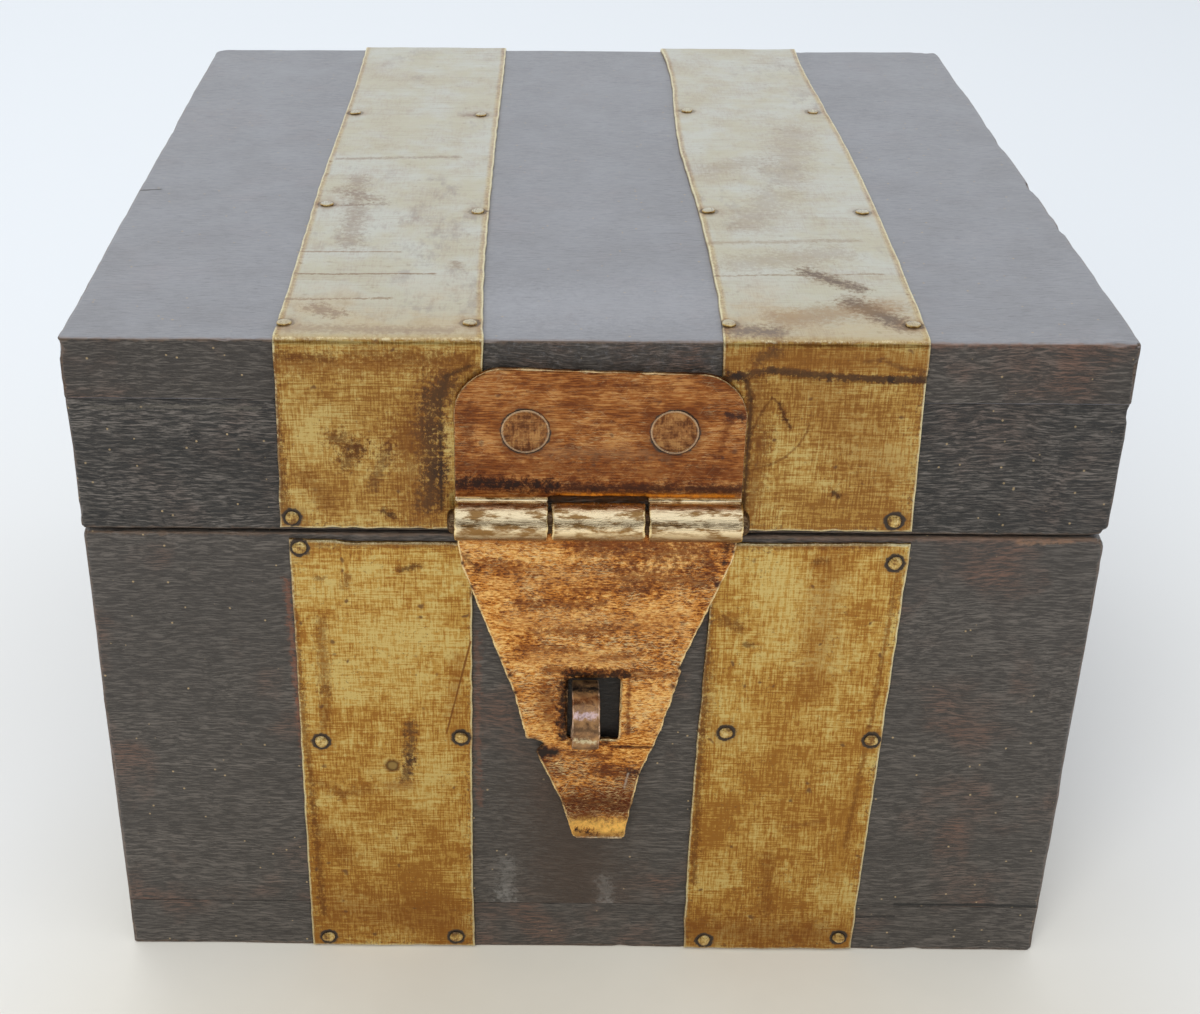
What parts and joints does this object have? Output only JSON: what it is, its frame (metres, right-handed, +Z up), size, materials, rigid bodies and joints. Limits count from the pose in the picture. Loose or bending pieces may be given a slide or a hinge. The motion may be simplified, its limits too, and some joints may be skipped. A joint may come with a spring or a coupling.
{
  "type": "brass-strapped wooden box",
  "caption": "Small square dark wooden box with a hinged lid, brass straps nailed over it, and a tapering hasp that hangs over a staple for a padlock.",
  "frame": {"origin": "middle of the underside of the box, on the surface that it stands on", "axes": "+Z up, -Y towards the front with the hasp, +X to the right seen from the front"},
  "size_m": [0.203, 0.2191, 0.1499],
  "materials": {
    "dark_wood": "very dark brown hardwood, old satin finish with open pores",
    "aged_brass": "hand-cut sheet, brushed, with brown patina",
    "brass_tack": "small domed heads with dark rims",
    "dark_pin": "flush pins, tarnished",
    "red_brass": "copper-red sheet, brushed along its width, polished knuckles",
    "rivet_brass": "flush heads, dished and dull",
    "hinge_pin_brass": "drawn rod with rounded ends",
    "dark_iron": "dark forged strip, worn bright on its face"
  },
  "bodies": {
    "case": {"case_front_board": "dark_wood", "case_back_board": "dark_wood", "case_left_board": "dark_wood", "case_right_board": "dark_wood", "case_bottom_board": "dark_wood", "case_front_strap_left": "aged_brass", "case_front_strap_right": "aged_brass", "case_back_strap_left": "aged_brass", "case_back_strap_right": "aged_brass", "hasp_staple": "dark_iron", "case_front_tacks": "brass_tack", "case_back_tacks": "brass_tack", "case_flush_pin": "dark_pin", "case_bottom_nails": "dark_iron"},
    "lid": {"lid_top_board": "dark_wood", "lid_front_rail": "dark_wood", "lid_back_rail": "dark_wood", "lid_left_rail": "dark_wood", "lid_right_rail": "dark_wood", "lid_strap_left": "aged_brass", "lid_strap_right": "aged_brass", "lid_top_tacks": "brass_tack", "lid_side_tacks": "brass_tack", "lid_flush_pins": "dark_pin", "hinge_pin_left": "hinge_pin_brass", "hinge_pin_right": "hinge_pin_brass", "hasp_plate": "red_brass", "hasp_plate_rivets": "rivet_brass", "hasp_pin": "hinge_pin_brass"},
    "hasp": {"hasp_leaf": "red_brass"}
  },
  "joints": [
    {"name": "lid_open", "type": "hinge", "parent": "case", "child": "lid", "pos_m": [0, 0.1042, 0.10715], "axis": [-1, 0, 0], "range_deg": [0, 105]},
    {"name": "hasp_swing", "type": "hinge", "parent": "lid", "child": "hasp", "pos_m": [0.00075, -0.10595, 0.11245], "axis": [-1, 0, 0], "range_deg": [0, 180]}
  ]
}
